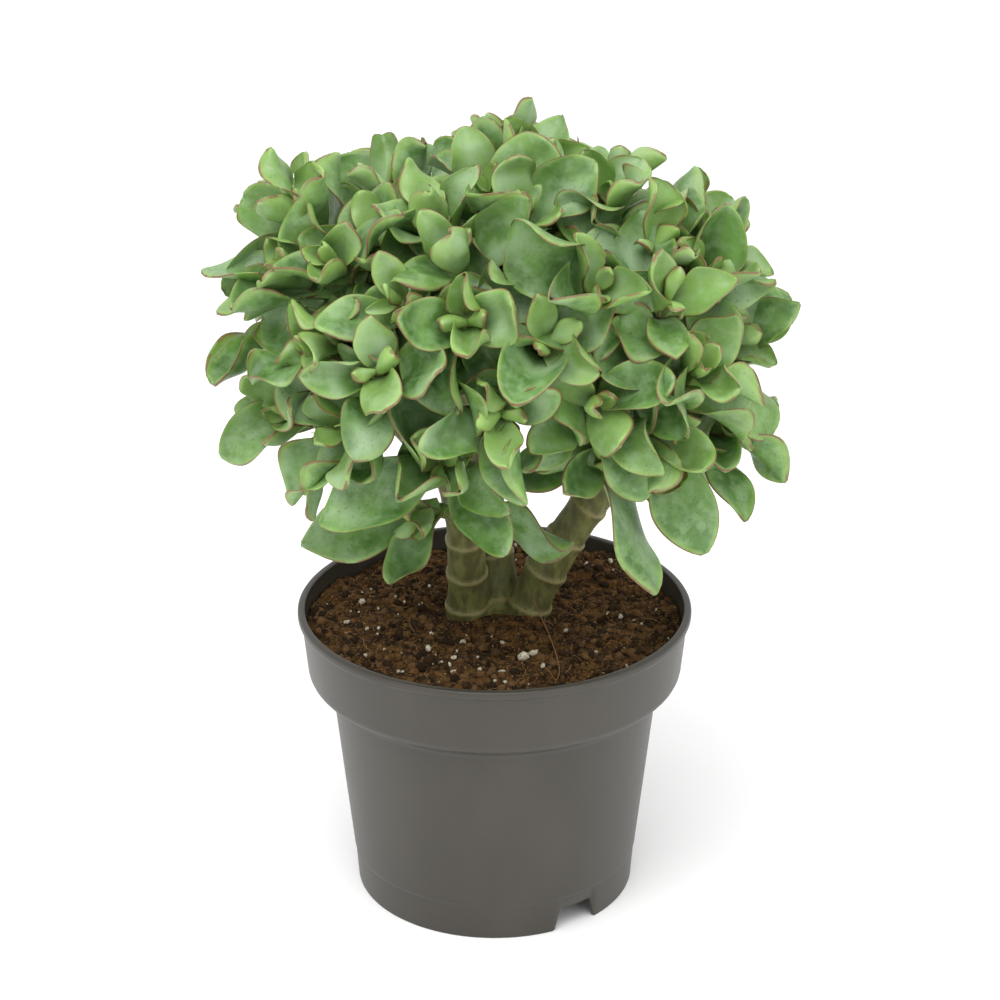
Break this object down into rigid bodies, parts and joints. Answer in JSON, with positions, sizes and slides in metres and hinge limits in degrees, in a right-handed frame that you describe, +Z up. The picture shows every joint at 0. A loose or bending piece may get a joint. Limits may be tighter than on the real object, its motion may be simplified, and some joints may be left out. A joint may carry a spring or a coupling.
{
  "type": "potted jade plant",
  "caption": "Ripple-leaf jade plant with woody stems and a dome of wavy succulent leaves, in a tapered round nursery pot.",
  "frame": {"origin": "centre of the pot's foot ring, on the surface the pot stands on", "axes": "+Z up along the pot's axis, -Y is the front, +X is to the right as seen from the front"},
  "size_m": [0.2347, 0.2499, 0.3506],
  "materials": {
    "pot": "dark warm grey polypropylene, satin, faint turning marks",
    "soil": "dark brown peat with fibres and crumbs",
    "perlite": "off-white expanded perlite, rough",
    "bark": "olive-brown succulent stem with ring scars",
    "leaf": "thick glaucous green leaf, waxy bloom, thin red-brown margin"
  },
  "bodies": {
    "root": {"root_crown": "bark", "left_stem": "bark", "right_stem": "bark", "back_stem": "bark", "left_limb_1": "bark", "left_limb_2": "bark", "left_limb_3": "bark", "left_limb_4": "bark", "right_limb_1": "bark", "right_limb_2": "bark", "right_limb_3": "bark", "back_limb_1": "bark", "back_limb_2": "bark", "back_limb_3": "bark", "perlite_grain_1": "perlite", "perlite_grain_2": "perlite", "potting_soil": "soil", "nursery_pot": "pot", "shoot_crest_left_far": "leaf", "shoot_left_shoulder": "leaf", "shoot_left_brow": "leaf", "shoot_crest_left": "leaf", "shoot_crest_middle_left": "leaf", "shoot_brow_middle": "leaf", "shoot_crown_left": "leaf", "shoot_crown_top": "leaf", "shoot_crown_front": "leaf", "shoot_crown_right": "leaf", "shoot_right_ridge": "leaf", "shoot_crest_right": "leaf", "shoot_right_shoulder": "leaf", "shoot_middle_right": "leaf", "shoot_heart_right": "leaf", "shoot_right_heart": "leaf", "shoot_right_tip": "leaf", "shoot_right_low": "leaf", "shoot_right_middle": "leaf", "shoot_left_front_low": "leaf", "shoot_left_front": "leaf", "shoot_left_front_top": "leaf", "shoot_middle_front": "leaf", "shoot_middle_low": "leaf", "shoot_low_left": "leaf", "shoot_low_left_front": "leaf", "shoot_right_hang": "leaf", "shoot_front_low": "leaf", "shoot_middle_low_right": "leaf", "shoot_low_left_stem": "leaf", "shoot_low_right_stem": "leaf", "shoot_back_left_edge": "leaf", "shoot_back_right_edge": "leaf", "shoot_back_left_high": "leaf", "shoot_back_right_high": "leaf", "shoot_back_crown_left": "leaf", "shoot_back_crown_right": "leaf", "shoot_back_crown": "leaf", "shoot_back_left": "leaf", "shoot_back_right": "leaf", "shoot_back_low_left": "leaf", "shoot_back_low_right": "leaf"}
  },
  "joints": []
}
